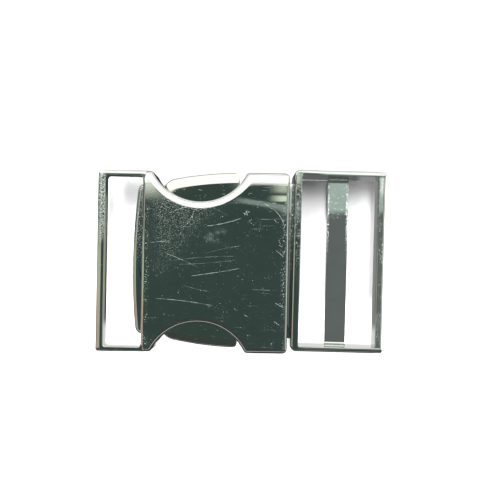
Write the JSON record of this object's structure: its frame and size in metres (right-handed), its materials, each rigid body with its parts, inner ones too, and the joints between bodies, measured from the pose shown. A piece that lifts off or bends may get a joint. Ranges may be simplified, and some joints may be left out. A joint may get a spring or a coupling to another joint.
{
  "type": "side release buckle",
  "caption": "Closed metal side release buckle: flat housing with strap loop and finger windows, plug with adjustable strap frame, and sprung latch wings.",
  "frame": {"origin": "middle of the closed buckle's outline, on the surface that the housing's back lies on", "axes": "+X from the housing's strap loop to the plug's frame, along the strap; +Y across the strap; +Z out of the front face"},
  "size_m": [0.0652, 0.042, 0.009],
  "materials": {
    "housing_plating": "mirror-polished nickel plating, finely scratched",
    "plug_plating": "mirror-polished nickel plating",
    "wing_plating": "mirror-polished nickel plating",
    "pin_steel": "turned steel"
  },
  "bodies": {
    "buckle": {"housing": "housing_plating", "plug": "plug_plating", "pivot_pin_upper": "pin_steel", "pivot_pin_lower": "pin_steel"},
    "upper_wing": {"wing_upper": "wing_plating"},
    "lower_wing": {"wing_lower": "wing_plating"}
  },
  "joints": [
    {"name": "upper_wing_press", "type": "hinge", "parent": "buckle", "child": "upper_wing", "pos_m": [-0.01464, 0.01375, 0.0045], "axis": [0, 0, -1], "range_deg": [0, 10], "stiffness_Nm_per_rad": 0.4, "springref_deg": -5.73},
    {"name": "lower_wing_press", "type": "hinge", "parent": "buckle", "child": "lower_wing", "pos_m": [-0.01464, -0.01315, 0.0045], "axis": [0, 0, 1], "range_deg": [0, 10], "stiffness_Nm_per_rad": 0.4, "springref_deg": -5.73}
  ]
}
